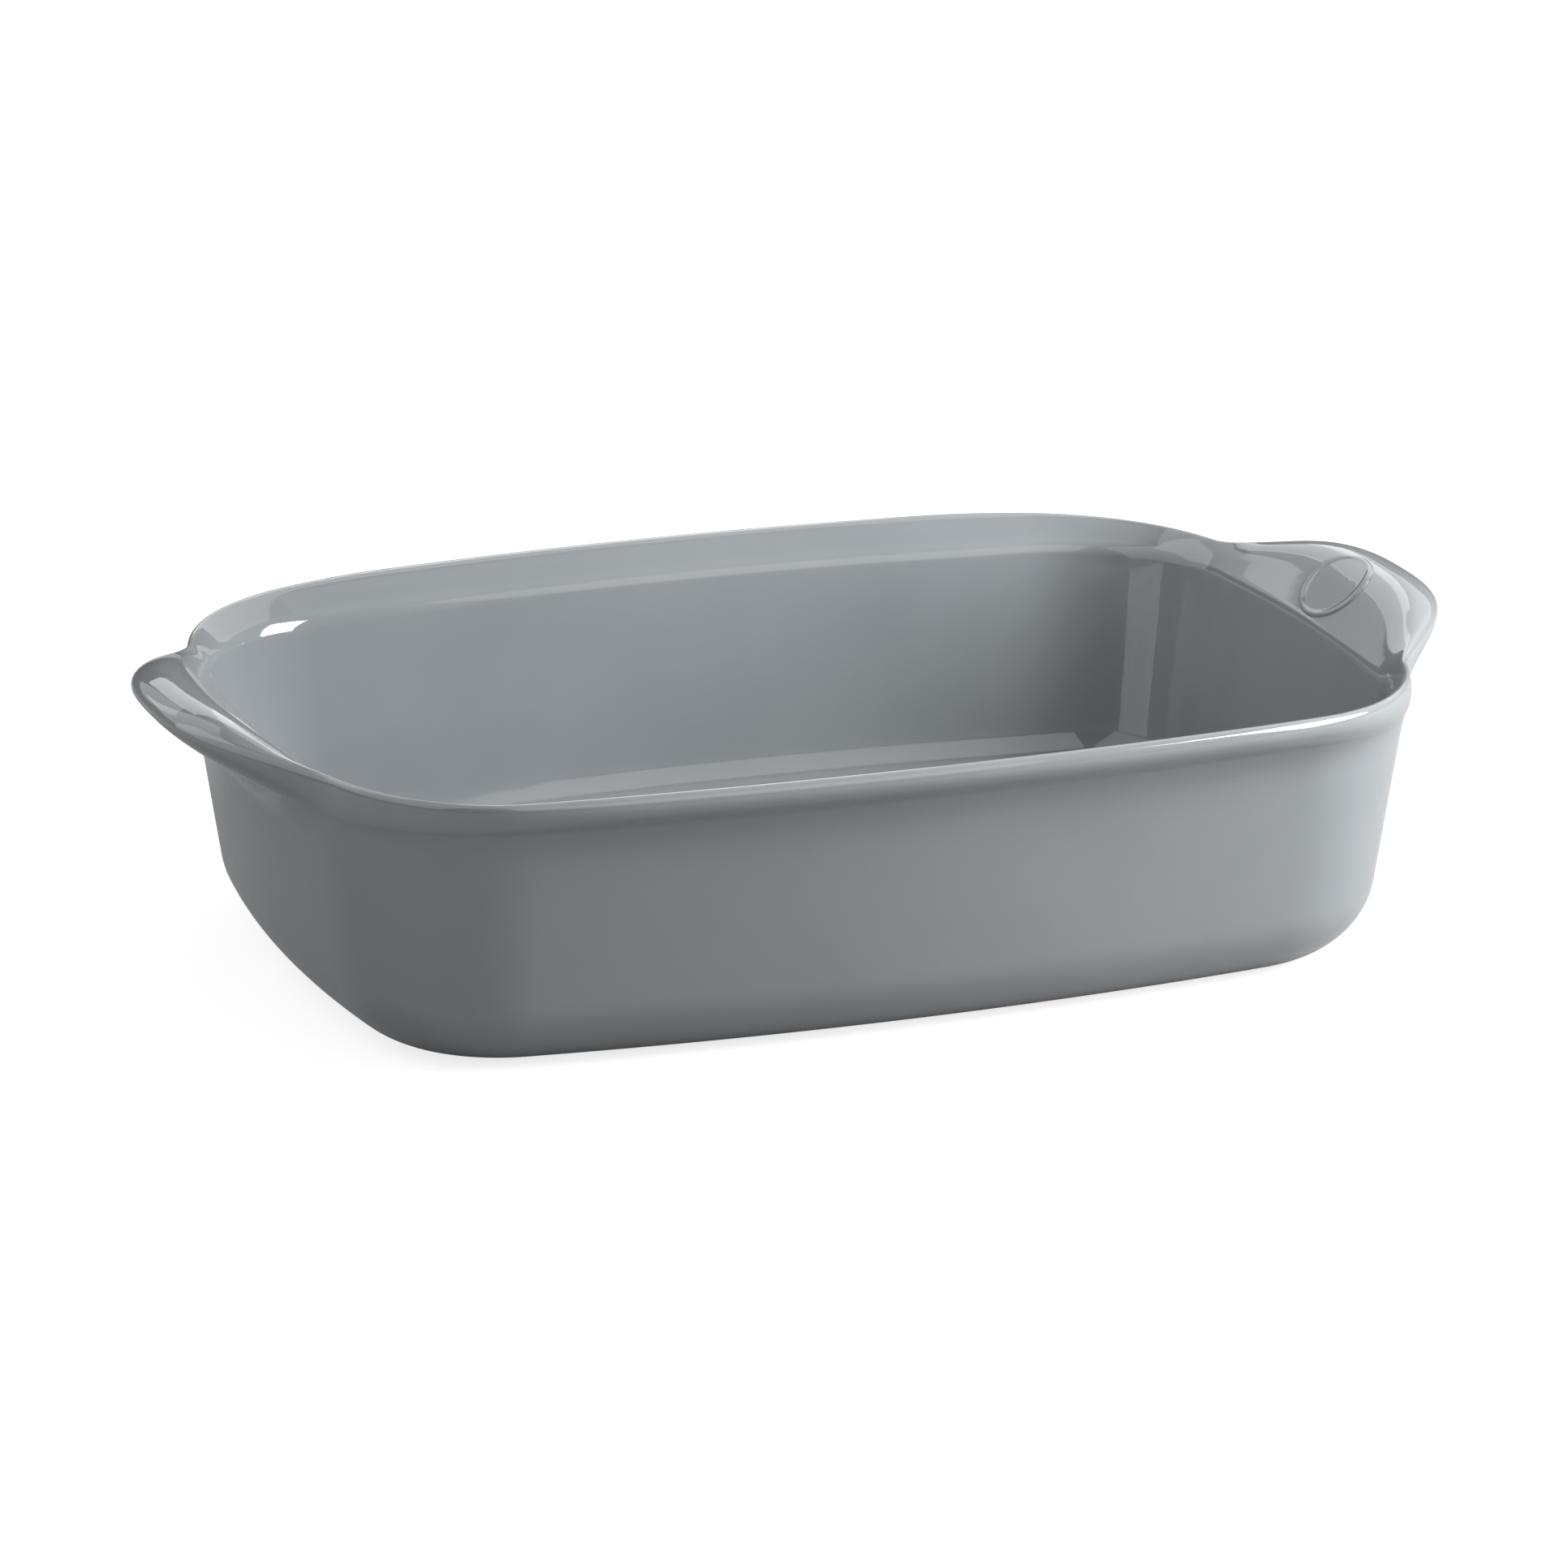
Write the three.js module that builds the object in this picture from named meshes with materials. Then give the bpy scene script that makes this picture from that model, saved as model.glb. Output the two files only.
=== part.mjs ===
// A rectangular ceramic roasting dish with a rolled rim and two raised end handles.
// Millimetres, +Z up, +X along the length, origin under the middle of the foot.
// The clay body is one fired piece. The glaze is a thin glass coat fused over all of it but the foot.

import * as THREE from "three";

// Wall line: the outside of the walls in plan, a rectangle of four bowed sides with rounded corners.
const WALL_LENGTH = 315;
const WALL_WIDTH = 217;
const LONG_SIDE_RADIUS = 850;
const SHORT_SIDE_RADIUS = 430;
const CORNER_RADIUS = 53;

// Walls and floor
const WALL_DRAFT = THREE.MathUtils.degToRad(8.6);
const WALL_THICKNESS = 6.4;
const FLOOR_THICKNESS = 7;
const INSIDE_FILLET = 17;
const OUTSIDE_FILLET = 23;

// Rim: its height at the ends, and how much higher it bows along each long side
const RIM_HEIGHT = 79;
const RIM_BOW = 1;
const WALL_LINE_DROP = 15.5;

// The flange is a polygon in section, rounded at every corner. Reach is measured out from the wall line,
// and rise up from the rim's height. Along the long sides it is a rolled rim.
const RIM_CREST_REACH = 7.6;
const RIM_CREST_RISE = 1.2;
const RIM_LIP_REACH = 10.8;
const RIM_LIP_RISE = -1.4;
const RIM_UNDERSIDE_REACH = 9.6;
const RIM_UNDERSIDE_RISE = -5.8;
const RIM_COVE_RISE = -11;

// At the necks beside each handle the flange is pinched in to the wall.
const NECK_CREST_REACH = -2.8;
const NECK_CREST_RISE = -3.4;
const NECK_LIP_REACH = 1.3;
const NECK_LIP_RISE = 0.8;
const NECK_UNDERSIDE_REACH = 2.1;
const NECK_UNDERSIDE_RISE = -8.4;
const NECK_COVE_RISE = -13;

// In the middle of each short end it rises and spreads into the handle.
const HANDLE_CREST_REACH = 12.5;
const HANDLE_CREST_RISE = 9.6;
const HANDLE_LIP_REACH = 26.6;
const HANDLE_LIP_RISE = 5.2;
const HANDLE_UNDERSIDE_REACH = 24.5;
const HANDLE_UNDERSIDE_RISE = -0.8;
const HANDLE_COVE_RISE = -17;

// The inner edge, where the wall turns out into the flange, and how far its rounding and the cove's reach.
// The edge is soft along the rim, and crisper at the necks and handles.
const INNER_EDGE_DROP = 7;
const RIM_EDGE_ROUNDING = 3.5;
const NECK_EDGE_ROUNDING = 2;
const HANDLE_EDGE_ROUNDING = 2;
const COVE_ROUNDING = 8;

// Distances along the wall line from the middle of a short end
const HANDLE_HALF_SPAN = 66;
const NECK_START = 62;
const PLAIN_RIM_START = 150;

// Powers of the handle's outline along its span: a flat middle and a soft end
const HANDLE_FLATNESS = 3;
const HANDLE_SOFTNESS = 2;

// Glaze and foot
const GLAZE_THICKNESS = 0.6;
const GLAZE_LINE_HEIGHT = 2;
const FOOT_WIDTH = 12;
const FOOT_RECESS = 1.5;
const FOOT_RECESS_RUN = 3;

// Facets round a quarter of the wall line, and along the section
const SHORT_SIDE_STEPS = 7;
const CORNER_STEPS = 7;
const LONG_SIDE_STEPS = 3;
const FILLET_STEPS = 4;
const BARE_FILLET_STEPS = 2;
const INNER_EDGE_STEPS = 3;
const CREST_STEPS = 4;
const LIP_STEPS = 3;
const UNDERSIDE_STEPS = 2;
const COVE_STEPS = 3;

const GLAZE_MATERIAL = new THREE.MeshStandardMaterial({ color: 0x80878a, roughness: 0.12, metalness: 0 });
const CLAY_MATERIAL = new THREE.MeshStandardMaterial({ color: 0xcdbb9f, roughness: 0.9, metalness: 0 });

const WALL_LINE_HEIGHT = RIM_HEIGHT - WALL_LINE_DROP;

// Plan: the centre of the corner arc touches both side arcs from inside.
function cornerCentre(longCentre, shortCentre) {
  const longRadius = LONG_SIDE_RADIUS - CORNER_RADIUS;
  const shortRadius = SHORT_SIDE_RADIUS - CORNER_RADIUS;
  const between = shortCentre.clone().sub(longCentre);
  const apart = between.length();
  const along = (longRadius ** 2 - shortRadius ** 2 + apart ** 2) / (2 * apart);
  const across = Math.sqrt(longRadius ** 2 - along ** 2);
  const direction = between.normalize();
  const normal = new THREE.Vector2(direction.y, -direction.x);
  return longCentre.clone().addScaledVector(direction, along).addScaledVector(normal, across);
}

// One quarter of the wall line, from the middle of a short end to the middle of a long side. Each stop has
// the direction out of the wall, the arc that it lies on and its distance along the wall line.
function quarterStops() {
  const longCentre = new THREE.Vector2(0, WALL_WIDTH / 2 - LONG_SIDE_RADIUS);
  const shortCentre = new THREE.Vector2(WALL_LENGTH / 2 - SHORT_SIDE_RADIUS, 0);
  const corner = cornerCentre(longCentre, shortCentre);
  const cornerFrom = corner.clone().sub(shortCentre).angle();
  const cornerTo = corner.clone().sub(longCentre).angle();
  const quarterTurn = Math.PI / 2;
  const arcs = [
    { centre: shortCentre, radius: SHORT_SIDE_RADIUS, to: cornerFrom, steps: SHORT_SIDE_STEPS },
    { centre: corner, radius: CORNER_RADIUS, to: cornerTo, steps: CORNER_STEPS },
    { centre: longCentre, radius: LONG_SIDE_RADIUS, to: quarterTurn, steps: LONG_SIDE_STEPS },
  ];
  const stops = [];
  let from = 0;
  let run = 0;
  for (const { centre, radius, to, steps } of arcs) {
    for (let step = 0; step < steps; step += 1) {
      const turn = ((to - from) * step) / steps;
      stops.push({ centre, radius, angle: from + turn, run: run + radius * turn });
    }
    run += radius * (to - from);
    from = to;
  }
  stops.push({ centre: longCentre, radius: LONG_SIDE_RADIUS, angle: quarterTurn, run });
  return stops;
}

// Section: reach of the two wall faces at a height
function outerWallReach(height) {
  return (height - WALL_LINE_HEIGHT) * Math.tan(WALL_DRAFT);
}

function innerWallReach(height) {
  return outerWallReach(height) - WALL_THICKNESS;
}

// How far a stop belongs to the handle, and how far to the pinched short end
function handleShare(run) {
  const t = Math.min(1, run / HANDLE_HALF_SPAN);
  return (1 - t ** HANDLE_FLATNESS) ** HANDLE_SOFTNESS;
}

function shortEndShare(run) {
  return 1 - THREE.MathUtils.smoothstep(run, NECK_START, PLAIN_RIM_START);
}

// A flange size at a stop, from its values on the plain rim, at the neck and on the handle
function blend(stop, rim, neck, handle) {
  const end = THREE.MathUtils.lerp(neck, handle, stop.handle);
  return THREE.MathUtils.lerp(rim, end, stop.shortEnd);
}

// The section as stations, each with its place (reach, height) and its direction of travel, from the floor
// inside up over the rim and down the outside.
class Section {
  stations = [];

  add(point, direction) {
    this.stations.push({ point, direction: direction.clone().normalize() });
  }

  arc(centre, radius, from, to, steps) {
    const side = Math.sign(to - from);
    for (let step = 0; step <= steps; step += 1) {
      const angle = THREE.MathUtils.lerp(from, to, step / steps);
      const out = new THREE.Vector2(Math.cos(angle), Math.sin(angle));
      this.add(centre.clone().addScaledVector(out, radius), new THREE.Vector2(-out.y * side, out.x * side));
    }
  }

  // A rounded corner, as a quadratic curve that leaves and meets its sides at two points of them
  corner(start, tip, end, steps, last = steps - 1) {
    const curve = new THREE.QuadraticBezierCurve(start, tip, end);
    for (let step = 0; step <= last; step += 1) {
      this.add(curve.getPoint(step / steps), curve.getTangent(step / steps));
    }
  }
}

function midpoint(a, b) {
  return a.clone().lerp(b, 0.5);
}

function towards(from, to, distance) {
  const side = to.clone().sub(from);
  return from.clone().addScaledVector(side.normalize(), distance);
}

// Corners of the flange's polygon at a stop, before they are rounded
function flangeCorners(stop) {
  const rimHeight = RIM_HEIGHT + RIM_BOW * stop.alongSide;
  const edgeHeight = rimHeight - INNER_EDGE_DROP;
  const coveHeight = rimHeight + blend(stop, RIM_COVE_RISE, NECK_COVE_RISE, HANDLE_COVE_RISE);
  const place = (reach, rise) => new THREE.Vector2(blend(stop, ...reach), rimHeight + blend(stop, ...rise));
  return {
    edge: new THREE.Vector2(innerWallReach(edgeHeight), edgeHeight),
    crest: place(
      [RIM_CREST_REACH, NECK_CREST_REACH, HANDLE_CREST_REACH],
      [RIM_CREST_RISE, NECK_CREST_RISE, HANDLE_CREST_RISE],
    ),
    lip: place(
      [RIM_LIP_REACH, NECK_LIP_REACH, HANDLE_LIP_REACH],
      [RIM_LIP_RISE, NECK_LIP_RISE, HANDLE_LIP_RISE],
    ),
    underside: place(
      [RIM_UNDERSIDE_REACH, NECK_UNDERSIDE_REACH, HANDLE_UNDERSIDE_REACH],
      [RIM_UNDERSIDE_RISE, NECK_UNDERSIDE_RISE, HANDLE_UNDERSIDE_RISE],
    ),
    cove: new THREE.Vector2(outerWallReach(coveHeight), coveHeight),
  };
}

const INSIDE_FILLET_HEIGHT = FLOOR_THICKNESS + INSIDE_FILLET;
const INSIDE_FILLET_CENTRE = new THREE.Vector2(
  innerWallReach(INSIDE_FILLET_HEIGHT) - INSIDE_FILLET / Math.cos(WALL_DRAFT),
  INSIDE_FILLET_HEIGHT,
);
const OUTSIDE_FILLET_HEIGHT = OUTSIDE_FILLET - GLAZE_THICKNESS;
const OUTSIDE_FILLET_CENTRE = new THREE.Vector2(
  outerWallReach(OUTSIDE_FILLET_HEIGHT) - OUTSIDE_FILLET / Math.cos(WALL_DRAFT),
  OUTSIDE_FILLET_HEIGHT,
);
const GLAZE_LINE_ANGLE = -Math.asin(1 - GLAZE_LINE_HEIGHT / OUTSIDE_FILLET_HEIGHT);

// The glazed face in section, from the edge of the floor to the glaze line above the foot
function glazedSection(stop) {
  const { edge, crest, lip, underside, cove } = flangeCorners(stop);
  const up = new THREE.Vector2(Math.sin(WALL_DRAFT), Math.cos(WALL_DRAFT));
  const edgeRounding = blend(stop, RIM_EDGE_ROUNDING, NECK_EDGE_ROUNDING, HANDLE_EDGE_ROUNDING);
  const edgeStart = edge.clone().addScaledVector(up, -edgeRounding);
  const slopeRun = edge.distanceTo(crest) / 2;
  const edgeEnd = towards(edge, crest, Math.min(edgeRounding, slopeRun));
  const section = new Section();
  section.arc(INSIDE_FILLET_CENTRE, INSIDE_FILLET, -Math.PI / 2, -WALL_DRAFT, FILLET_STEPS);
  section.corner(edgeStart, edge, edgeEnd, INNER_EDGE_STEPS);
  section.corner(midpoint(edge, crest), crest, midpoint(crest, lip), CREST_STEPS);
  section.corner(midpoint(crest, lip), lip, midpoint(lip, underside), LIP_STEPS);
  section.corner(midpoint(lip, underside), underside, midpoint(underside, cove), UNDERSIDE_STEPS);
  const coveEnd = cove.clone().addScaledVector(up, -COVE_ROUNDING);
  section.corner(midpoint(underside, cove), cove, coveEnd, COVE_STEPS, COVE_STEPS);
  section.arc(OUTSIDE_FILLET_CENTRE, OUTSIDE_FILLET, -WALL_DRAFT, GLAZE_LINE_ANGLE, FILLET_STEPS);
  return section.stations;
}

// The bare clay in section, from the glaze line down to the foot and in under the floor
function footSection() {
  const radius = OUTSIDE_FILLET - GLAZE_THICKNESS;
  const section = new Section();
  section.arc(OUTSIDE_FILLET_CENTRE, radius, GLAZE_LINE_ANGLE, -Math.PI / 2, BARE_FILLET_STEPS);
  const inward = new THREE.Vector2(-1, 0);
  const footEdge = OUTSIDE_FILLET_CENTRE.x - FOOT_WIDTH;
  section.add(new THREE.Vector2(footEdge, 0), inward);
  section.add(new THREE.Vector2(footEdge - FOOT_RECESS_RUN, FOOT_RECESS), inward);
  return section.stations.slice(1);
}

// A station moved into the material by a depth
function sunk({ point, direction }, depth) {
  return new THREE.Vector2(point.x + direction.y * depth, point.y - direction.x * depth);
}

// The place of a section point at a stop, in the stop's own quarter of the dish
function placeOn(stop, point) {
  const radius = stop.radius + point.x;
  const x = stop.centre.x + radius * Math.cos(stop.angle);
  const y = stop.centre.y + radius * Math.sin(stop.angle);
  return new THREE.Vector3(x, y, point.y).multiply(stop.mirror);
}

// Stops all the way round, from the first quarter and its mirror images
function allStops() {
  const quarter = quarterStops();
  for (const stop of quarter) {
    const x = stop.centre.x + stop.radius * Math.cos(stop.angle);
    stop.alongSide = 1 - (x / (WALL_LENGTH / 2)) ** 2;
    stop.handle = handleShare(stop.run);
    stop.shortEnd = shortEndShare(stop.run);
    stop.mirror = new THREE.Vector3(1, 1, 1);
  }
  const mirrored = (x, y) => quarter.map((stop) => ({ ...stop, mirror: new THREE.Vector3(x, y, 1) }));
  return [
    ...quarter,
    ...mirrored(-1, 1).reverse().slice(1),
    ...mirrored(-1, -1).slice(1),
    ...mirrored(1, -1).reverse().slice(1, -1),
  ];
}

// Rings round the dish, one for each point of the section
function rings(stops, pointsAt) {
  const columns = stops.map((stop) => pointsAt(stop).map((point) => placeOn(stop, point)));
  return columns[0].map((_, row) => columns.map((column) => column[row]));
}

// Triangles of a closed face, wound so that they face out
class Skin {
  positions = [];

  triangle(a, b, c) {
    for (const corner of [a, b, c]) {
      this.positions.push(...corner.toArray());
    }
  }

  // Bands between rings that follow each other along the section. Turned over, they face back.
  bands(rows, turnedOver = false) {
    for (let row = 1; row < rows.length; row += 1) {
      this.band(rows[row - 1], rows[row], turnedOver);
    }
  }

  band(inner, outer, turnedOver) {
    for (let i = 0; i < inner.length; i += 1) {
      const next = (i + 1) % inner.length;
      this.facet(inner[i], outer[i], outer[next], turnedOver);
      this.facet(inner[i], outer[next], inner[next], turnedOver);
    }
  }

  // Closes a ring with a flat fan round its middle
  fan(ring, turnedOver = false) {
    const middle = new THREE.Vector3(0, 0, ring[0].z);
    for (let i = 0; i < ring.length; i += 1) {
      this.facet(middle, ring[i], ring[(i + 1) % ring.length], turnedOver);
    }
  }

  facet(a, b, c, turnedOver) {
    if (turnedOver) {
      this.triangle(a, c, b);
    } else {
      this.triangle(a, b, c);
    }
  }

  mesh(name, material) {
    const geometry = new THREE.BufferGeometry();
    geometry.setAttribute("position", new THREE.Float32BufferAttribute(this.positions, 3));
    geometry.computeVertexNormals();
    const mesh = new THREE.Mesh(geometry, material);
    mesh.name = name;
    return mesh;
  }
}

// The glazed face, the clay's face under it and the bare foot
const stops = allStops();
const coveredFace = (depth) => (stop) => glazedSection(stop).map((station) => sunk(station, depth));
const glazedFace = rings(stops, coveredFace(0));
const clayFace = rings(stops, coveredFace(GLAZE_THICKNESS));
const footFace = rings(stops, () => footSection().map(({ point }) => point));

// The clay carries the coat on its face and stands on its bare foot ring.
function clayBody() {
  const skin = new Skin();
  skin.fan(clayFace[0]);
  skin.bands([...clayFace, ...footFace]);
  skin.fan(footFace.at(-1), true);
  return skin.mesh("clay_body", CLAY_MATERIAL);
}

// The coat's back is the clay's face turned over, and it ends square at the glaze line.
function glazeCoat() {
  const skin = new Skin();
  skin.fan(glazedFace[0]);
  skin.bands([...glazedFace, clayFace.at(-1)]);
  skin.bands(clayFace, true);
  skin.fan(clayFace[0], true);
  return skin.mesh("glaze_coat", GLAZE_MATERIAL);
}

const dish = new THREE.Group();
dish.add(clayBody(), glazeCoat());

export default dish;
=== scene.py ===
# A rectangular ceramic roasting dish in glossy grey glaze, with a rolled rim and two raised end handles.
# Lengths are in millimetres until a point is placed, and in metres in the scene.

import math

import bpy
from mathutils import Matrix, Vector


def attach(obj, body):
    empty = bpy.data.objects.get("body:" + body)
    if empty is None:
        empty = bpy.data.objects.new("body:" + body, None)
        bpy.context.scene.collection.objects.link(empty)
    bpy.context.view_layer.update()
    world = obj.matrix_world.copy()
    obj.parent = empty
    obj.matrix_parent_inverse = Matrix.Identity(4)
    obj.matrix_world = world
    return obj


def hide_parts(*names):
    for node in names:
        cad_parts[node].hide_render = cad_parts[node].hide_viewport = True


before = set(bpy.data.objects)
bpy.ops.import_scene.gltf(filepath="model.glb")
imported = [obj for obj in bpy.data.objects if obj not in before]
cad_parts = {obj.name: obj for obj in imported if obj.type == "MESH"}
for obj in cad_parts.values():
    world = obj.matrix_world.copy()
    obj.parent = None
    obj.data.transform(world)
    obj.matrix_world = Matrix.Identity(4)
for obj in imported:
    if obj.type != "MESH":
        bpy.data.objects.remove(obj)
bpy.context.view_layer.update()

MM = 0.001

# Wall line: the outside of the walls in plan, a rectangle of four bowed sides with rounded corners
WALL_LENGTH = 315
WALL_WIDTH = 217
LONG_SIDE_RADIUS = 850
SHORT_SIDE_RADIUS = 430
CORNER_RADIUS = 53

# Walls and floor
WALL_DRAFT = math.radians(8.6)
WALL_THICKNESS = 6.4
FLOOR_THICKNESS = 7
INSIDE_FILLET = 17
OUTSIDE_FILLET = 23

# Rim: its height at the ends, how much higher it bows along each long side, and how far below it the wall
# line lies
RIM_HEIGHT = 79
RIM_BOW = 1
WALL_LINE_DROP = 15.5
WALL_LINE_HEIGHT = RIM_HEIGHT - WALL_LINE_DROP

# Corners of the flange in section, as reach from the wall line and rise from the rim's height. The cove
# lies on the wall, so only its rise is given. The edge is the rounding of the inner edge.
RIM = {"crest": (7.6, 1.2), "lip": (10.8, -1.4), "underside": (9.6, -5.8), "cove": -11, "edge": 3.5}
NECK = {"crest": (-2.8, -3.4), "lip": (1.3, 0.8), "underside": (2.1, -8.4), "cove": -13, "edge": 2}
HANDLE = {"crest": (12.5, 9.6), "lip": (26.6, 5.2), "underside": (24.5, -0.8), "cove": -17, "edge": 2}

# The inner edge's drop below the rim, the most of the slope that its rounding takes, and the cove's rounding
INNER_EDGE_DROP = 7
INNER_EDGE_SHARE = 0.9
COVE_ROUNDING = 8

# Distances along the wall line from the middle of a short end
HANDLE_HALF_SPAN = 66
NECK_START = 62
PLAIN_RIM_START = 150

# Powers that shape the swell of the handle along its span
HANDLE_FLATNESS = 3
HANDLE_SOFTNESS = 2

# Glaze and foot
GLAZE_THICKNESS = 0.6
GLAZE_LINE_HEIGHT = 2
FOOT_WIDTH = 12
FOOT_RECESS = 1.5
FOOT_RECESS_RUN = 3

# Plain oval pad on the inner slope of the right-hand handle. Its middle is a run along the end and a way up
# the section from the foot of the inner edge's rounding. The profile is its height at shares of its radius.
PAD_RUN = 2.6
PAD_UP_SECTION = 14.9
PAD_HALF_WIDTH = 14.4
PAD_HALF_HEIGHT = 11.8
PAD_SUNK = 0.3
PAD_PROFILE = (
    (0, 0.55),
    (0.8, 0.55),
    (0.85, 0.68),
    (0.89, 0.8),
    (0.93, 0.74),
    (0.97, 0.42),
    (1, -PAD_SUNK),
)
PAD_RING_SHARES = (0.2, 0.4, 0.6, 0.7, 0.78, 0.82, 0.85, 0.87, 0.89, 0.91, 0.93, 0.95, 0.97, 0.985, 1)
PAD_SECTORS = 120

# How fast the pad's colour pales on its raised rim, partly as thinner glaze and partly as a painted
# highlight, and darkens at its sunk foot, partly as pooled glaze and partly as painted shade, for each
# millimetre that a place stands above or below the pad's middle
PAD_THINNING_AND_PAINTED_LIGHT = 1.4

# Steps of the meshes: spacing round the wall line on a short side, a corner and a long side, then counts
# across the floor and along the section from the inside to the foot
SPACINGS = (2, 2, 6)
FLOOR_RINGS = 8
INSIDE_FILLET_STEPS = 14
INSIDE_WALL_STEPS = 6
EDGE_STEPS = 10
SLOPE_STEPS = 2
CREST_STEPS = 14
LIP_STEPS = 12
UNDERSIDE_STEPS = 10
COVE_STEPS = 10
OUTSIDE_WALL_STEPS = 5
OUTSIDE_FILLET_STEPS = 14
FOOT_FILLET_STEPS = 6
FOOT_STEPS = 4
FOOT_RECESS_STEPS = 4

# Camera: the direction it looks from, its distance and the point it looks at, then what sets its lens: the
# sensor's width, the image's size and the pixels to a millimetre at that point
CAMERA_AZIMUTH = math.radians(-20.27)
CAMERA_ELEVATION = math.radians(17.4)
CAMERA_DISTANCE = 2153
CAMERA_TARGET = (-3.19, 0, 41.12)
CAMERA_SENSOR = 36
IMAGE_SIZE = 1932
PIXELS_PER_MM = 4.4995

# Floor: its radius and its drop below the foot in metres, its colour, and the glow that lifts it to white
# where it is seen
FLOOR_RADIUS = 1
FLOOR_DROP = 0.0002
FLOOR_SECTORS = 180
FLOOR_COLOUR = (0.39, 0.39, 0.39, 1)
FLOOR_GLOW = (0.79, 0.79, 0.79, 1)

# How much of the white round it the glaze mirrors
MIRRORED_SHARE = 0.08

# Softboxes: azimuth and elevation in degrees, distance, width and height in metres, brightness of the face,
# and the point that they all face
SOFTBOXES = {
    "right_softbox": (62, 28, 0.9, 0.5, 0.64, 16.2),
    "front_softbox": (0, 40, 1.6, 1.4, 1, 1.3),
    "top_softbox": (0, 89, 1.5, 1.4, 1.4, 0.35),
    "left_softbox": (-95, 30, 1.6, 2.3, 1.6, 1.1),
    "back_left_softbox": (-138, 38, 2, 1.8, 1.4, 1.15),
    "back_right_softbox": (138, 38, 2, 1.8, 1.4, 1.05),
    "back_panel": (194, 23, 3.2, 0.9, 1.1, 0.8),
    "back_softbox": (171, 29.5, 3, 1.35, 1.1, 1.6),
}
SOFTBOX_TARGET = (0, 0, 0.04)

# Glaze: the two colours of its clouds; a paler colour on sharp edges, partly thin glaze and partly a painted
# highlight; a darker colour in hollows, partly pooled glaze and partly painted shade; and the most of these
# that shows
GLAZE_DEEP = (0.213, 0.23, 0.242, 1)
GLAZE_PALE = (0.233, 0.25, 0.263, 1)
GLAZE_THIN_AND_HIGHLIGHT = (0.303, 0.315, 0.32, 1)
GLAZE_THICK_AND_SHADE = (0.178, 0.195, 0.208, 1)
GLAZE_THIN_AND_HIGHLIGHT_SHARE = 0.5
GLAZE_THICK_AND_SHADE_SHARE = 0.5
GLAZE_ROUGHNESS = (0.035, 0.075)
GLAZE_IOR = 1.6

# Clay: the two colours of its sand, and its iron specks
CLAY_DARK = (0.55, 0.44, 0.3, 1)
CLAY_PALE = (0.66, 0.55, 0.4, 1)
CLAY_SPECK = (0.28, 0.2, 0.13, 1)
CLAY_SPECK_SHARE = 0.7
CLAY_ROUGHNESS = (0.8, 0.95)

# Noise in the materials: bumps to the metre, levels of finer bumps, and how strong the finer ones are
GLAZE_CLOUDS = (22, 3, 0.5)
GLAZE_POLISH = (60, 4, 0.5)
GLAZE_WAVES = (26, 1, 0.5)
GLAZE_DIMPLES = (330, 2, 0.5)
CLAY_SAND = (160, 6, 0.7)
CLAY_SPECKS = (900, 2, 0.5)
CLAY_POLISH = (300, 3, 0.5)
CLAY_GRAIN = (1400, 4, 0.6)

# Ends of the noise's range that a pair of colours or roughnesses is spread over
NOISE_RANGE = (0.3, 0.7)
GLAZE_POLISH_RANGE = (0.3, 0.75)
CLAY_SPECK_RANGE = (0.68, 0.74)

# Heights of the relief, in metres
GLAZE_WAVE_HEIGHT = 0.00022
GLAZE_DIMPLE_HEIGHT = 0.000012
CLAY_GRAIN_HEIGHT = 0.0001

# Name of the glaze's vertex values, from 0 in tight hollows to 1 on sharp edges, which darken hollows as
# pooled glaze and painted shade and pale edges as thin glaze and a painted highlight; the value on even
# faces, and the radius of a turn that counts as sharp
POOLING_AND_PAINTED_LIGHT = "pooling_and_painted_light"
EVEN = 0.5
POOLING_AND_PAINTED_LIGHT_RADIUS = 2.5


def lerp(a, b, t):
    return a + (b - a) * t


def smoothstep(x, low, high):
    t = min(1, max(0, (x - low) / (high - low)))
    return t * t * (3 - 2 * t)


# Plan


def corner_centre(long_centre, short_centre):
    """The centre of the corner arc, which touches both side arcs from inside."""
    long_radius = LONG_SIDE_RADIUS - CORNER_RADIUS
    short_radius = SHORT_SIDE_RADIUS - CORNER_RADIUS
    between = short_centre - long_centre
    apart = between.length
    along = (long_radius**2 - short_radius**2 + apart**2) / (2 * apart)
    across = math.sqrt(long_radius**2 - along**2)
    direction = between / apart
    return long_centre + direction * along + Vector((direction.y, -direction.x)) * across


def angle_of(v):
    return math.atan2(v.y, v.x)


def quarter_arcs():
    """The arcs of one quarter of the wall line, from the middle of a short end."""
    long_centre = Vector((0, WALL_WIDTH / 2 - LONG_SIDE_RADIUS))
    short_centre = Vector((WALL_LENGTH / 2 - SHORT_SIDE_RADIUS, 0))
    corner = corner_centre(long_centre, short_centre)
    corner_from = angle_of(corner - short_centre)
    corner_to = angle_of(corner - long_centre)
    return [
        (short_centre, SHORT_SIDE_RADIUS, 0, corner_from),
        (corner, CORNER_RADIUS, corner_from, corner_to),
        (long_centre, LONG_SIDE_RADIUS, corner_to, math.pi / 2),
    ]


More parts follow.
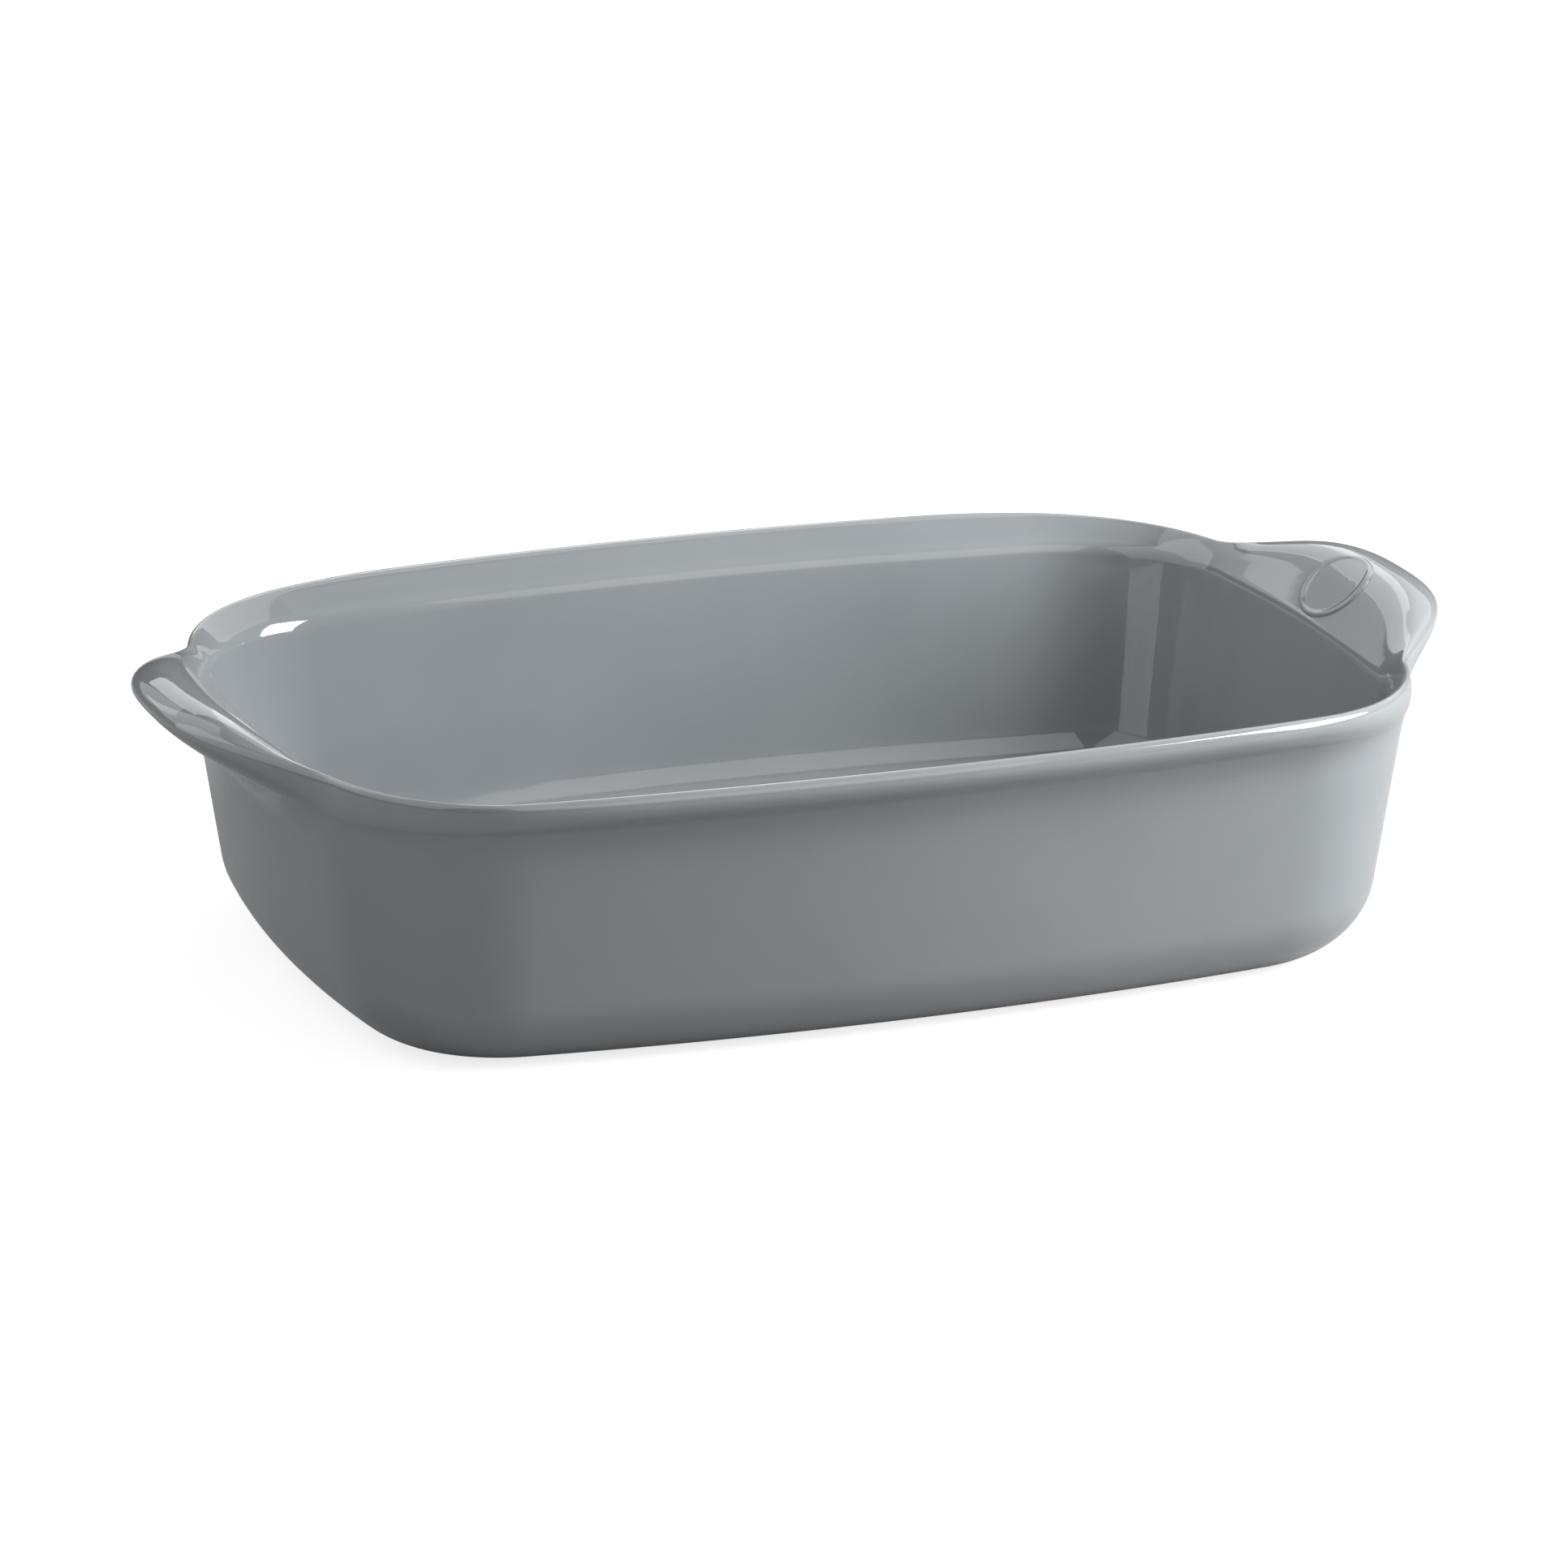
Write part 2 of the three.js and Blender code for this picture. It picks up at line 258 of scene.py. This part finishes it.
class Stop:
    """A place on the wall line: its arc, its angle on that and its run from the middle of a short end."""

    def __init__(self, centre, radius, angle, run, mirror=(1, 1)):
        self.centre = centre
        self.radius = radius
        self.angle = angle
        self.run = run
        self.mirror = mirror
        x = centre.x + radius * math.cos(angle)
        self.rim_height = RIM_HEIGHT + RIM_BOW * (1 - (x / (WALL_LENGTH / 2)) ** 2)
        t = min(1, run / HANDLE_HALF_SPAN)
        self.handle = (1 - t**HANDLE_FLATNESS) ** HANDLE_SOFTNESS
        self.short_end = 1 - smoothstep(run, NECK_START, PLAIN_RIM_START)

    def mirrored(self, x, y):
        return Stop(self.centre, self.radius, self.angle, self.run, (x, y))

    def blend(self, rim, neck, handle):
        return lerp(rim, lerp(neck, handle, self.handle), self.short_end)

    def place(self, reach, height):
        radius = self.radius + reach
        x = self.centre.x + radius * math.cos(self.angle)
        y = self.centre.y + radius * math.sin(self.angle)
        return Vector((x * self.mirror[0], y * self.mirror[1], height)) * MM


def quarter_stops(spacings):
    stops = []
    run = 0
    for (centre, radius, start, end), spacing in zip(quarter_arcs(), spacings):
        length = radius * (end - start)
        steps = max(1, round(length / spacing))
        for step in range(steps):
            turn = (end - start) * step / steps
            stops.append(Stop(centre, radius, start + turn, run + radius * turn))
        run += length
    centre, radius, _, end = quarter_arcs()[-1]
    stops.append(Stop(centre, radius, end, run))
    return stops


def all_stops(spacings):
    """Stops all the way round, from the first quarter and its mirror images."""
    quarter = quarter_stops(spacings)
    second = [stop.mirrored(-1, 1) for stop in reversed(quarter)]
    third = [stop.mirrored(-1, -1) for stop in quarter]
    fourth = [stop.mirrored(1, -1) for stop in reversed(quarter)]
    return quarter + second[1:] + third[1:] + fourth[1:-1]


# Section


def outer_wall_reach(height):
    return (height - WALL_LINE_HEIGHT) * math.tan(WALL_DRAFT)


def inner_wall_reach(height):
    return outer_wall_reach(height) - WALL_THICKNESS


INSIDE_FILLET_HEIGHT = FLOOR_THICKNESS + INSIDE_FILLET
INSIDE_FILLET_CENTRE = Vector((
    inner_wall_reach(INSIDE_FILLET_HEIGHT) - INSIDE_FILLET / math.cos(WALL_DRAFT),
    INSIDE_FILLET_HEIGHT,
))
OUTSIDE_FILLET_HEIGHT = OUTSIDE_FILLET - GLAZE_THICKNESS
OUTSIDE_FILLET_CENTRE = Vector((
    outer_wall_reach(OUTSIDE_FILLET_HEIGHT) - OUTSIDE_FILLET / math.cos(WALL_DRAFT),
    OUTSIDE_FILLET_HEIGHT,
))
GLAZE_LINE_ANGLE = -math.asin(1 - GLAZE_LINE_HEIGHT / OUTSIDE_FILLET_HEIGHT)


class Section:
    """Stations along the section, each a place (reach, height) and a direction of travel."""

    def __init__(self):
        self.points = []
        self.directions = []

    def add(self, point, direction):
        self.points.append(point)
        self.directions.append(direction.normalized())

    def arc(self, centre, radius, start, end, steps):
        side = math.copysign(1, end - start)
        for step in range(steps + 1):
            angle = lerp(start, end, step / steps)
            out = Vector((math.cos(angle), math.sin(angle)))
            self.add(centre + out * radius, Vector((-out.y, out.x)) * side)

    def corner(self, start, tip, end, steps):
        """A rounded corner, as a quadratic curve from its start up to just before its end."""
        for step in range(steps):
            t = step / steps
            point = start * (1 - t) ** 2 + tip * 2 * t * (1 - t) + end * t**2
            self.add(point, (tip - start) * (1 - t) + (end - tip) * t)

    def line(self, start, end, direction, steps):
        for step in range(steps):
            self.add(start.lerp(end, step / steps), direction)

    def sunk(self, depth):
        """The points moved into the material by a depth."""
        return [
            point + Vector((direction.y, -direction.x)) * depth
            for point, direction in zip(self.points, self.directions)
        ]


def flange_corners(stop):
    def place(name):
        reach, rise = (
            stop.blend(*values) for values in zip(RIM[name], NECK[name], HANDLE[name])
        )
        return Vector((reach, stop.rim_height + rise))

    edge_height = stop.rim_height - INNER_EDGE_DROP
    cove_height = stop.rim_height + stop.blend(RIM["cove"], NECK["cove"], HANDLE["cove"])
    edge = Vector((inner_wall_reach(edge_height), edge_height))
    cove = Vector((outer_wall_reach(cove_height), cove_height))
    return edge, place("crest"), place("lip"), place("underside"), cove


def glazed_section(stop):
    """The glazed face in section, from the edge of the floor to the glaze line above the foot."""
    edge, crest, lip, underside, cove = flange_corners(stop)
    up = Vector((math.sin(WALL_DRAFT), math.cos(WALL_DRAFT)))
    slope = (edge + crest) / 2
    top = (crest + lip) / 2
    side = (lip + underside) / 2
    below = (underside + cove) / 2
    outward = (crest - edge).normalized()
    rounding = stop.blend(RIM["edge"], NECK["edge"], HANDLE["edge"])
    edge_start = edge - up * rounding
    edge_end = edge + outward * min(rounding, INNER_EDGE_SHARE * (slope - edge).length)
    cove_end = cove - up * COVE_ROUNDING
    fillet_start = Vector((up.y, -up.x)) * OUTSIDE_FILLET + OUTSIDE_FILLET_CENTRE
    section = Section()
    section.arc(INSIDE_FILLET_CENTRE, INSIDE_FILLET, -math.pi / 2, -WALL_DRAFT, INSIDE_FILLET_STEPS)
    section.line(section.points.pop(), edge_start, section.directions.pop(), INSIDE_WALL_STEPS)
    section.corner(edge_start, edge, edge_end, EDGE_STEPS)
    section.line(edge_end, slope, outward, SLOPE_STEPS)
    section.corner(slope, crest, top, CREST_STEPS)
    section.corner(top, lip, side, LIP_STEPS)
    section.corner(side, underside, below, UNDERSIDE_STEPS)
    section.corner(below, cove, cove_end, COVE_STEPS)
    section.line(cove_end, fillet_start, -up, OUTSIDE_WALL_STEPS)
    section.arc(
        OUTSIDE_FILLET_CENTRE, OUTSIDE_FILLET, -WALL_DRAFT, GLAZE_LINE_ANGLE, OUTSIDE_FILLET_STEPS
    )
    return section


def foot_section():
    """The bare clay in section, from the glaze line down to the foot and in under the floor."""
    section = Section()
    radius = OUTSIDE_FILLET - GLAZE_THICKNESS
    section.arc(OUTSIDE_FILLET_CENTRE, radius, GLAZE_LINE_ANGLE, -math.pi / 2, FOOT_FILLET_STEPS)
    inward = Vector((-1, 0))
    foot_edge = Vector((OUTSIDE_FILLET_CENTRE.x - FOOT_WIDTH, 0))
    recess = foot_edge + Vector((-FOOT_RECESS_RUN, FOOT_RECESS))
    section.line(section.points.pop(), foot_edge, section.directions.pop(), FOOT_STEPS)
    section.line(foot_edge, recess, recess - foot_edge, FOOT_RECESS_STEPS)
    section.add(recess, inward)
    return section.points[1:]


# Meshes


class Skin:
    """Vertices and faces of a closed mesh, wound so that they face out."""

    def __init__(self):
        self.vertices = []
        self.faces = []

    def ring(self, stops, points):
        first = len(self.vertices)
        self.vertices += [stop.place(*point) for stop, point in zip(stops, points)]
        return range(first, len(self.vertices))

    def rings(self, stops, columns):
        return [self.ring(stops, row) for row in zip(*columns)]

    def bands(self, rings, turned_over=False):
        for inner, outer in zip(rings, rings[1:]):
            count = len(inner)
            for i in range(count):
                j = (i + 1) % count
                face = (inner[i], outer[i], outer[j], inner[j])
                self.faces.append(face[::-1] if turned_over else face)

    def cap(self, ring, steps, turned_over=False):
        """A flat lid over a ring, as smaller and smaller rings round the middle."""
        edge = [self.vertices[i] for i in ring]
        middle = Vector((0, 0, edge[0].z))
        rings = [ring]
        for step in range(1, steps):
            first = len(self.vertices)
            self.vertices += [point.lerp(middle, step / steps) for point in edge]
            rings.append(range(first, len(self.vertices)))
        self.bands(rings, not turned_over)
        self.vertices.append(middle)
        self.fan(rings[-1], turned_over)

    def fan(self, ring, turned_over):
        """Closes a ring with faces round the vertex that was added last."""
        for i in range(len(ring)):
            face = (len(self.vertices) - 1, ring[i], ring[(i + 1) % len(ring)])
            self.faces.append(face[::-1] if turned_over else face)

    def build(self, name, material):
        mesh = bpy.data.meshes.new(name)
        mesh.from_pydata([tuple(v) for v in self.vertices], [], self.faces)
        mesh.materials.append(material)
        for polygon in mesh.polygons:
            polygon.use_smooth = True
        piece = bpy.data.objects.new(name, mesh)
        bpy.context.collection.objects.link(piece)
        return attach(piece, "root")


def pooling_and_painted_light(section):
    """How sharply the section turns at each station, from 0 in a tight hollow to 1 on a sharp edge. The
    values pale edges as thin glaze and a painted highlight, and darken hollows as pooled glaze and painted
    shade.
    """
    values = []
    last = len(section.points) - 1
    for i in range(last + 1):
        before, after = max(0, i - 1), min(last, i + 1)
        turn = section.directions[before].angle_signed(section.directions[after])
        length = (section.points[after] - section.points[before]).length
        values.append(EVEN + (1 - EVEN) * math.tanh(POOLING_AND_PAINTED_LIGHT_RADIUS * turn / length))
    return values


def keep_pooling_and_painted_light(piece, values):
    attribute = piece.data.attributes.new(POOLING_AND_PAINTED_LIGHT, "FLOAT", "POINT")
    attribute.data.foreach_set("value", values)


def glaze_piece(material):
    stops = all_stops(SPACINGS)
    sections = [glazed_section(stop) for stop in stops]
    skin = Skin()
    face = skin.rings(stops, [section.points for section in sections])
    back = skin.rings(stops, [section.sunk(GLAZE_THICKNESS) for section in sections])
    skin.cap(face[0], FLOOR_RINGS)
    skin.bands(face + [back[-1]])
    skin.bands(back, turned_over=True)
    skin.cap(back[0], FLOOR_RINGS, turned_over=True)
    piece = skin.build("glaze", material)
    # Values that paint a highlight on sharp edges and shade in hollows, along with the glaze's thinning and
    # pooling
    values = [EVEN] * len(skin.vertices)
    for row, turns in zip(face, zip(*[pooling_and_painted_light(section) for section in sections])):
        values[row.start : row.stop] = turns
    keep_pooling_and_painted_light(piece, values)
    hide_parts("glaze_coat")
    return piece


def clay_piece(material):
    stops = all_stops(SPACINGS)
    skin = Skin()
    face = skin.rings(stops, [glazed_section(stop).sunk(GLAZE_THICKNESS) for stop in stops])
    foot = skin.rings(stops, [foot_section()] * len(stops))
    skin.cap(face[0], FLOOR_RINGS)
    skin.bands(face + foot)
    skin.cap(foot[-1], FLOOR_RINGS, turned_over=True)
    piece = skin.build("clay", material)
    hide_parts("clay_body")
    return piece


def slope_point(run, along):
    """A point of the glazed face on the right-hand end and its direction out, at a run along the end and a
    way up the section from the foot of the inner edge's rounding."""
    centre, radius, _, _ = quarter_arcs()[0]
    stop = Stop(centre, radius, abs(run) / radius, abs(run), (1, math.copysign(1, run)))
    section = glazed_section(stop)
    i = INSIDE_FILLET_STEPS + INSIDE_WALL_STEPS
    step = (section.points[i + 1] - section.points[i]).length
    while along > step:
        along -= step
        i += 1
        step = (section.points[i + 1] - section.points[i]).length
    reach, height = section.points[i].lerp(section.points[i + 1], along / step)
    direction = section.directions[i].lerp(section.directions[i + 1], along / step)
    out = -direction.y
    normal = Vector((out * math.cos(stop.angle), out * math.sin(stop.angle) * stop.mirror[1], direction.x))
    return stop.place(reach, height), normal.normalized()


def pad_height(share):
    for (low, start), (high, end) in zip(PAD_PROFILE, PAD_PROFILE[1:]):
        if share <= high:
            return lerp(start, end, (share - low) / (high - low))


def pad_piece(material):
    """A thin oval pad that follows the slope, with a low rim round a plain middle."""
    skin = Skin()
    heights = []

    def ring(share, height):
        first = len(skin.vertices)
        for sector in range(PAD_SECTORS):
            turn = 2 * math.pi * sector / PAD_SECTORS
            run = PAD_RUN + PAD_HALF_WIDTH * share * math.cos(turn)
            along = PAD_UP_SECTION + PAD_HALF_HEIGHT * share * math.sin(turn)
            point, normal = slope_point(run, along)
            skin.vertices.append(point + normal * height * MM)
            heights.append(height)
        return range(first, len(skin.vertices))

    def middle(height, rim, turned_over):
        point, normal = slope_point(PAD_RUN, PAD_UP_SECTION)
        skin.vertices.append(point + normal * height * MM)
        heights.append(height)
        skin.fan(rim, turned_over)

    top = [ring(share, pad_height(share)) for share in PAD_RING_SHARES]
    under = [top[-1]] + [ring(share, -PAD_SUNK) for share in reversed(PAD_RING_SHARES[:-1:2])]
    skin.bands(top + under[1:], turned_over=True)
    middle(pad_height(0), top[0], turned_over=True)
    middle(-PAD_SUNK, under[-1], turned_over=False)
    piece = skin.build("plain_oval", material)
    # The raised rim is painted paler, partly thin glaze and partly a painted highlight; the sunk foot darker,
    # partly pooled glaze and partly painted shade
    rises = [height - pad_height(0) for height in heights]
    keep_pooling_and_painted_light(piece, [min(1, max(0, EVEN + PAD_THINNING_AND_PAINTED_LIGHT * rise)) for rise in rises])
    return piece


# Materials


class Nodes:
    """A short way to add and link the nodes of a material."""

    def __init__(self, tree):
        self.tree = tree

    def add(self, kind, **settings):
        node = self.tree.nodes.new(kind)
        for name, value in settings.items():
            setattr(node, name, value)
        return node

    def link(self, source, target):
        self.tree.links.new(source, target)


def new_material(name):
    material = bpy.data.materials.new(name)
    material.use_nodes = True
    nodes = Nodes(material.node_tree)
    return material, nodes, material.node_tree.nodes["Principled BSDF"]


def noise(nodes, kind):
    """Soft noise in the object's own space."""
    scale, detail, roughness = kind
    place = nodes.add("ShaderNodeTexCoord")
    texture = nodes.add("ShaderNodeTexNoise")
    texture.inputs["Scale"].default_value = scale
    texture.inputs["Detail"].default_value = detail
    texture.inputs["Roughness"].default_value = roughness
    nodes.link(place.outputs["Object"], texture.inputs["Vector"])
    return texture.outputs["Fac"]


def ramp(nodes, source, ends, colours):
    """A pair of colours or greys at the ends of a range, blended between."""
    node = nodes.add("ShaderNodeValToRGB")
    for element, position, colour in zip(node.color_ramp.elements, ends, colours):
        element.position = position
        element.color = colour
    nodes.link(source, node.inputs["Fac"])
    return node.outputs["Color"]


def greys(*values):
    return [(value, value, value, 1) for value in values]


def blended(nodes, factor, first, second):
    node = nodes.add("ShaderNodeMix", data_type="RGBA")
    nodes.link(factor, node.inputs["Factor"])
    for name, colour in (("A", first), ("B", second)):
        if isinstance(colour, tuple):
            node.inputs[name].default_value = colour
        else:
            nodes.link(colour, node.inputs[name])
    return node.outputs["Result"]


def bump(nodes, height, distance, below=None):
    """Relief of a height in metres, over the relief below it."""
    node = nodes.add("ShaderNodeBump")
    node.inputs["Distance"].default_value = distance
    nodes.link(height, node.inputs["Height"])
    if below:
        nodes.link(below, node.inputs["Normal"])
    return node.outputs["Normal"]


def glaze_material():
    """Glossy grey glaze: a little cloudy, paler over sharp edges, partly as thin glaze and partly as a
    painted highlight, darker in hollows, partly as pooled glaze and partly as painted shade, with the slow
    waves and the fine dimples of a melted coat."""
    material, nodes, shader = new_material("glaze")
    clouds = ramp(nodes, noise(nodes, GLAZE_CLOUDS), NOISE_RANGE, (GLAZE_DEEP, GLAZE_PALE))
    # Paler on sharp edges and darker in hollows: partly thin and pooled glaze, partly a painted highlight and
    # painted shade
    pooled_and_painted_light = nodes.add("ShaderNodeAttribute", attribute_name=POOLING_AND_PAINTED_LIGHT).outputs["Fac"]
    thin_and_highlit = ramp(nodes, pooled_and_painted_light, (EVEN, 1), greys(0, GLAZE_THIN_AND_HIGHLIGHT_SHARE))
    thick_and_shaded = ramp(nodes, pooled_and_painted_light, (0, EVEN), greys(GLAZE_THICK_AND_SHADE_SHARE, 0))
    colour = blended(nodes, thin_and_highlit, clouds, GLAZE_THIN_AND_HIGHLIGHT)
    nodes.link(blended(nodes, thick_and_shaded, colour, GLAZE_THICK_AND_SHADE), shader.inputs["Base Color"])
    polish = ramp(nodes, noise(nodes, GLAZE_POLISH), GLAZE_POLISH_RANGE, greys(*GLAZE_ROUGHNESS))
    nodes.link(polish, shader.inputs["Roughness"])
    shader.inputs["IOR"].default_value = GLAZE_IOR
    waves = bump(nodes, noise(nodes, GLAZE_WAVES), GLAZE_WAVE_HEIGHT)
    dimples = bump(nodes, noise(nodes, GLAZE_DIMPLES), GLAZE_DIMPLE_HEIGHT, waves)
    nodes.link(dimples, shader.inputs["Normal"])
    return material


def clay_material():
    """Bare buff clay, fired matt: sandy, with iron specks and a fine grain."""
    material, nodes, shader = new_material("clay")
    sand = ramp(nodes, noise(nodes, CLAY_SAND), NOISE_RANGE, (CLAY_DARK, CLAY_PALE))
    specks = ramp(nodes, noise(nodes, CLAY_SPECKS), CLAY_SPECK_RANGE, greys(0, CLAY_SPECK_SHARE))
    nodes.link(blended(nodes, specks, sand, CLAY_SPECK), shader.inputs["Base Color"])
    polish = ramp(nodes, noise(nodes, CLAY_POLISH), NOISE_RANGE, greys(*CLAY_ROUGHNESS))
    nodes.link(polish, shader.inputs["Roughness"])
    nodes.link(bump(nodes, noise(nodes, CLAY_GRAIN), CLAY_GRAIN_HEIGHT), shader.inputs["Normal"])
    return material


def seen(nodes):
    """1 for what the camera sees, straight or through glass, less for what is mirrored, and otherwise 0."""
    path = nodes.add("ShaderNodeLightPath")
    mirrored = nodes.add("ShaderNodeMath", operation="MULTIPLY")
    nodes.link(path.outputs["Is Glossy Ray"], mirrored.inputs[0])
    mirrored.inputs[1].default_value = MIRRORED_SHARE
    share = mirrored.outputs[0]
    for ray in ("Is Camera Ray", "Is Transmission Ray"):
        either = nodes.add("ShaderNodeMath", operation="MAXIMUM")
        nodes.link(share, either.inputs[0])
        nodes.link(path.outputs[ray], either.inputs[1])
        share = either.outputs[0]
    return share


def floor_material():
    """A matt floor that keeps shadows, with a glow where it is seen that lifts it to white."""
    material, nodes, shader = new_material("floor")
    shader.inputs["Base Color"].default_value = FLOOR_COLOUR
    shader.inputs["Roughness"].default_value = 1
    shader.inputs["Specular IOR Level"].default_value = 0
    shader.inputs["Emission Color"].default_value = FLOOR_GLOW
    nodes.link(seen(nodes), shader.inputs["Emission Strength"])
    return material


# Stage


def floor_disc(material):
    """A round floor, small enough that all of it is well lit and its edge is lost in the white round it."""
    mesh = bpy.data.meshes.new("floor")
    turns = [2 * math.pi * sector / FLOOR_SECTORS for sector in range(FLOOR_SECTORS)]
    edge = [(FLOOR_RADIUS * math.cos(turn), FLOOR_RADIUS * math.sin(turn), 0) for turn in turns]
    mesh.from_pydata(edge, [], [range(FLOOR_SECTORS)])
    mesh.materials.append(material)
    floor = bpy.data.objects.new("floor", mesh)
    floor.location.z = -FLOOR_DROP
    bpy.context.collection.objects.link(floor)


def looking(place, target):
    """The pose of a camera or lamp at a place, facing a target, with its top up."""
    back = (place - target).normalized()
    right = Vector((0, 0, 1)).cross(back).normalized()
    up = back.cross(right)
    pose = Matrix((right, up, back)).transposed().to_4x4()
    pose.translation = place
    return pose


def around(azimuth, elevation, distance, target):
    """The point at a distance from a target. Azimuth 0 is in front, on -Y."""
    level = math.cos(elevation)
    back = Vector((math.sin(azimuth) * level, -math.cos(azimuth) * level, math.sin(elevation)))
    return target + back * distance


def photo_camera():
    target = Vector(CAMERA_TARGET) * MM
    place = around(CAMERA_AZIMUTH, CAMERA_ELEVATION, CAMERA_DISTANCE * MM, target)
    data = bpy.data.cameras.new("camera")
    data.sensor_width = CAMERA_SENSOR
    data.lens = PIXELS_PER_MM * CAMERA_DISTANCE * CAMERA_SENSOR / IMAGE_SIZE
    camera = bpy.data.objects.new("camera", data)
    camera.matrix_world = looking(place, target)
    bpy.context.collection.objects.link(camera)
    bpy.context.scene.camera = camera


def softbox(name, azimuth, elevation, distance, width, height, radiance):
    """A lamp that faces the dish, of a size in metres and the brightness that its face is seen at."""
    target = Vector(SOFTBOX_TARGET)
    place = around(math.radians(azimuth), math.radians(elevation), distance, target)
    data = bpy.data.lights.new(name, "AREA")
    data.shape = "RECTANGLE"
    data.size = width
    data.size_y = height
    data.energy = radiance * math.pi * width * height
    lamp = bpy.data.objects.new(name, data)
    lamp.matrix_world = looking(place, target)
    lamp.visible_camera = False
    bpy.context.collection.objects.link(lamp)


def studio_world():
    """White where it is seen, with only a share of it mirrored and no other light from it."""
    world = bpy.data.worlds.new("studio")
    world.use_nodes = True
    nodes = Nodes(world.node_tree)
    background = world.node_tree.nodes["Background"]
    background.inputs["Color"].default_value = (1, 1, 1, 1)
    nodes.link(seen(nodes), background.inputs["Strength"])
    bpy.context.scene.world = world


glaze = glaze_material()
glaze_piece(glaze)
pad_piece(glaze)
clay_piece(clay_material())
floor_disc(floor_material())
photo_camera()
studio_world()
for softbox_name, placing in SOFTBOXES.items():
    softbox(softbox_name, *placing)

view_settings = bpy.context.scene.view_settings
view_settings.view_transform = "Standard"
